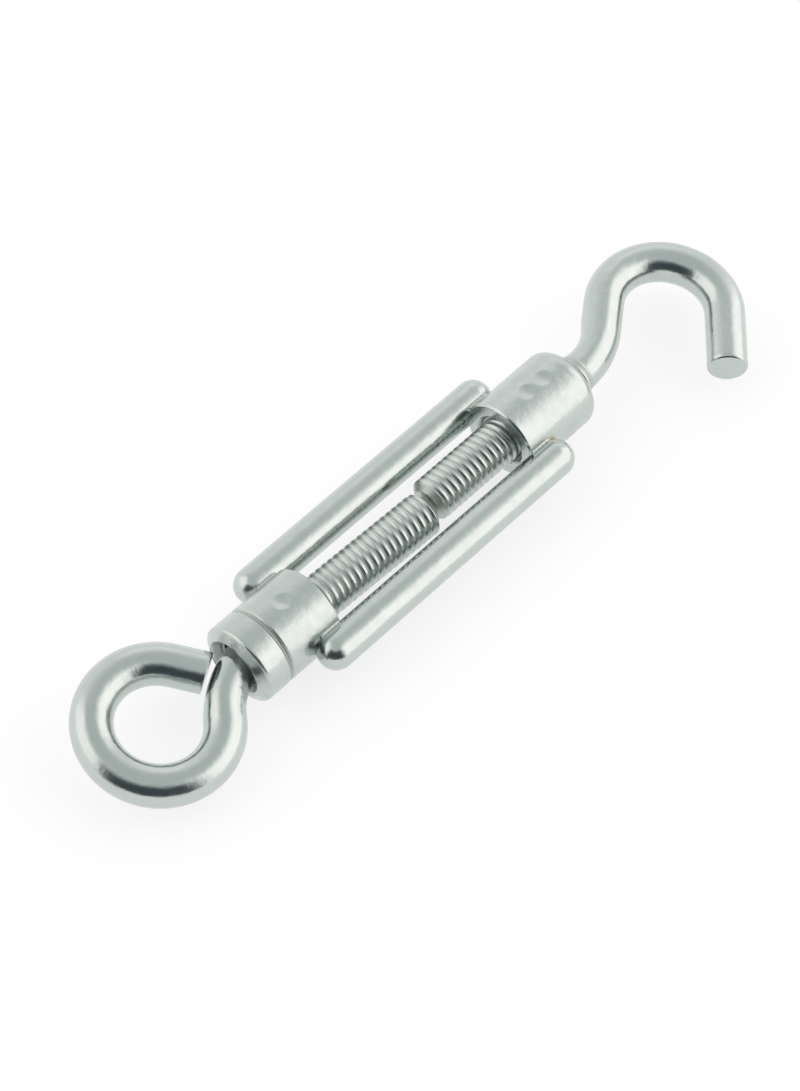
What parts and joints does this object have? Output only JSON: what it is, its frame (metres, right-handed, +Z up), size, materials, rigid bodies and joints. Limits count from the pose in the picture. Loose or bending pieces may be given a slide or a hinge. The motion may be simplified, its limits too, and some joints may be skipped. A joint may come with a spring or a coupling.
{
  "type": "rigging turnbuckle",
  "caption": "Open-frame rigging turnbuckle with a closed eye on a left-hand screw and an open hook on a right-hand screw, for tightening wire, cord or chain.",
  "frame": {"origin": "middle of the open frame, on its centre line, halfway between the outer faces of the two end bosses", "axes": "+X along the frame towards the hook, +Y across the two side bars towards the left bar, +Z up out of the plane of the side bars"},
  "size_m": [0.1102, 0.026, 0.011],
  "materials": {
    "bright_wire": "polished bright steel wire with a zinc-white sheen",
    "bar": "polished bright steel bar",
    "boss": "satin bright-plated steel",
    "weld": "plated resistance weld with faint heat tint",
    "thread": "cut internal thread"
  },
  "bodies": {
    "frame": {"eye_end_boss": "boss", "hook_end_boss": "boss", "left_side_bar": "bar", "right_side_bar": "bar", "eye_left_weld": "weld", "eye_right_weld": "weld", "hook_left_weld": "weld", "hook_right_weld": "weld"},
    "eye_thread": {"eye_end_thread": "thread"},
    "hook_thread": {"hook_end_thread": "thread"},
    "eye_screw": {"eye_bolt": "bright_wire"},
    "hook_screw": {"hook_bolt": "bright_wire"}
  },
  "joints": [
    {"name": "eye_turn", "type": "hinge", "parent": "frame", "child": "eye_thread", "pos_m": [-0.02355, 0, 0], "axis": [0.9996, -0.0297, 0], "range_deg": [0, 7200]},
    {"name": "eye_advance", "type": "slide", "parent": "eye_thread", "child": "eye_screw", "axis": [-0.9996, 0.0297, 0], "range_m": [0, 0.0201]},
    {"name": "hook_turn", "type": "hinge", "parent": "frame", "child": "hook_thread", "pos_m": [0.02355, 0, 0], "axis": [1, 0, 0], "range_deg": [0, 4860]},
    {"name": "hook_advance", "type": "slide", "parent": "hook_thread", "child": "hook_screw", "axis": [1, 0, 0], "range_m": [0, 0.0136]}
  ],
  "couplings": [
    {"joint": "eye_advance", "follows": "eye_turn", "m_per_rad": 0.00015915},
    {"joint": "hook_advance", "follows": "hook_turn", "m_per_rad": 0.00015915}
  ]
}
